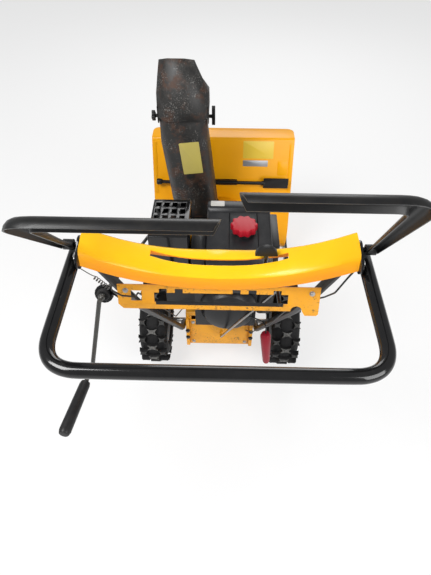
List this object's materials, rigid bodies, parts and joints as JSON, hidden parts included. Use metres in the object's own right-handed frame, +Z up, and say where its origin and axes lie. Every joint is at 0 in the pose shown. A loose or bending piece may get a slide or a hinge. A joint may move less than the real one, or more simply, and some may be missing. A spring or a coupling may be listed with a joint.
{
  "type": "two stage snowblower",
  "caption": "Walk-behind two stage snowblower: wide auger housing, impeller drum, swivel chute with deflector, engine, driven lugged wheels, loop handle with two clutch levers.",
  "frame": {"origin": "on the ground, in the middle of the machine's length and width, under the middle of the axle", "axes": "+Z up, +Y forward away from the operator, +X to the operator's right"},
  "size_m": [0.6658, 1.6667, 1.2676],
  "materials": {
    "housing_yellow": "golden yellow enamel",
    "frame_yellow": "golden yellow enamel, dusty",
    "dash_yellow": "moulded yellow plastic",
    "chute_steel": "black paint with rust and scratches",
    "black_paint": "gloss black powder coat",
    "black_plastic": "moulded black plastic",
    "rubber": "black rubber",
    "tyre": "lugged tread, worn grey on the lugs",
    "steel": "zinc plated steel",
    "cast": "cast metal",
    "red_plastic": "faded red plastic"
  },
  "bodies": {
    "root": {"housing_shell": "housing_yellow", "side_plate_left": "housing_yellow", "side_plate_right": "housing_yellow", "auger_bearing_left": "black_plastic", "auger_bearing_right": "black_plastic", "skid_shoe_left": "black_paint", "skid_shoe_right": "black_paint", "scraper_bar": "steel", "impeller_drum": "housing_yellow", "gear_case": "cast", "frame_box": "frame_yellow", "frame_cover": "frame_yellow", "engine_block": "cast", "recoil_cover": "black_plastic", "engine_shroud": "black_plastic", "carburettor_cover": "black_plastic", "muffler_guard": "black_paint", "muffler": "chute_steel", "auger_belt": "rubber", "belt_cover": "black_plastic", "lower_handle_left": "black_paint", "lower_handle_right": "black_paint", "pivot_plate_left": "black_paint", "pivot_plate_right": "black_paint", "handle_loop": "black_paint", "dash_panel": "dash_yellow", "shift_panel": "frame_yellow", "crank_eyelet": "rubber", "crank_bracket": "black_paint", "cable_spring": "steel", "clutch_cable_left": "black_plastic", "clutch_cable_right": "black_plastic", "starter_rope": "black_plastic", "tool_clip": "black_plastic"},
    "wheels": {"axle": "steel", "rim_left": "black_paint", "rim_right": "black_paint", "tyre_left": "tyre", "tyre_right": "tyre"},
    "auger": {"auger_shaft": "steel", "auger_left": "black_paint", "auger_right": "black_paint"},
    "impeller": {"impeller": "black_paint", "impeller_pulley": "cast"},
    "engine_shaft": {"engine_pulley": "cast"},
    "chute": {"chute": "chute_steel", "chute_gear": "black_paint"},
    "deflector": {"deflector": "chute_steel"},
    "knob_left": {"deflector_knob_left": "black_plastic"},
    "knob_right": {"deflector_knob_right": "black_plastic"},
    "lever_left": {"lever_left": "black_paint"},
    "lever_right": {"lever_right": "black_paint"},
    "shift": {"shift_lever": "black_paint", "shift_knob": "black_plastic"},
    "crank_rod": {"crank_rod": "steel"},
    "crank_handle": {"crank_handle": "steel", "crank_grip": "black_plastic"},
    "fuel_cap": {"fuel_cap": "red_plastic"},
    "starter_grip": {"starter_grip": "red_plastic"},
    "clean_out_tool": {"clean_out_tool": "black_plastic"}
  },
  "joints": [
    {"name": "wheel_spin", "type": "hinge", "parent": "root", "child": "wheels", "pos_m": [0, 0, 0.165], "axis": [1, 0, 0], "continuous": true},
    {"name": "impeller_spin", "type": "hinge", "parent": "root", "child": "impeller", "pos_m": [0, 0.36, 0.2], "axis": [0, 1, 0], "continuous": true},
    {"name": "auger_spin", "type": "hinge", "parent": "root", "child": "auger", "pos_m": [0, 0.685, 0.16], "axis": [1, 0, 0], "continuous": true},
    {"name": "engine_spin", "type": "hinge", "parent": "root", "child": "engine_shaft", "pos_m": [0.03, 0.2, 0.4], "axis": [0, 1, 0], "continuous": true},
    {"name": "chute_turn", "type": "hinge", "parent": "root", "child": "chute", "pos_m": [-0.105, 0.445, 0.385], "axis": [0, 0, 1], "range_deg": [-95, 95]},
    {"name": "deflector_tilt", "type": "hinge", "parent": "chute", "child": "deflector", "pos_m": [-0.143, 0.415, 0.806], "axis": [1, 0, 0], "range_deg": [-48, 0]},
    {"name": "knob_left_turn", "type": "hinge", "parent": "deflector", "child": "knob_left", "pos_m": [-0.24, 0.415, 0.806], "axis": [1, 0, 0], "continuous": true},
    {"name": "knob_right_turn", "type": "hinge", "parent": "deflector", "child": "knob_right", "pos_m": [-0.045, 0.415, 0.806], "axis": [1, 0, 0], "continuous": true},
    {"name": "lever_left_press", "type": "hinge", "parent": "root", "child": "lever_left", "pos_m": [-0.27, -0.5793, 1.0566], "axis": [1, 0, 0], "range_deg": [0, 54], "stiffness_Nm_per_rad": 0.8, "springref_deg": -68.75},
    {"name": "lever_right_press", "type": "hinge", "parent": "root", "child": "lever_right", "pos_m": [0.27, -0.5793, 1.0566], "axis": [1, 0, 0], "range_deg": [0, 62], "stiffness_Nm_per_rad": 0.8, "springref_deg": -68.75},
    {"name": "shift_swing", "type": "hinge", "parent": "root", "child": "shift", "pos_m": [0.0067, -0.0935, 0.19], "axis": [0, 0.8509, 0.5254], "range_deg": [-11.5, 0]},
    {"name": "crank_spin", "type": "hinge", "parent": "root", "child": "crank_rod", "pos_m": [-0.2235, 0.43, 0.38], "axis": [-0.0171, -0.887, 0.4615], "range_deg": [-800, 800]},
    {"name": "crank_fold", "type": "hinge", "parent": "root", "child": "crank_handle", "pos_m": [-0.2425, -0.556, 0.893], "axis": [1, 0, 0], "range_deg": [-40, 15]},
    {"name": "fuel_cap_turn", "type": "hinge", "parent": "root", "child": "fuel_cap", "pos_m": [0.07, -0.08, 0.69], "axis": [0, 0, 1], "range_deg": [0, 120]},
    {"name": "starter_pull", "type": "slide", "parent": "root", "child": "starter_grip", "axis": [0, -0.8, 0.6], "range_m": [0, 0.3], "stiffness_N_per_m": 15, "springref_m": -0.05},
    {"name": "tool_release", "type": "slide", "parent": "root", "child": "clean_out_tool", "axis": [0, -1, 0], "range_m": [0, 0.022]}
  ],
  "couplings": [
    {"joint": "auger_spin", "follows": "impeller_spin", "ratio": 0.1},
    {"joint": "engine_spin", "follows": "impeller_spin", "ratio": 2.361},
    {"joint": "crank_spin", "follows": "chute_turn", "ratio": 8}
  ]
}
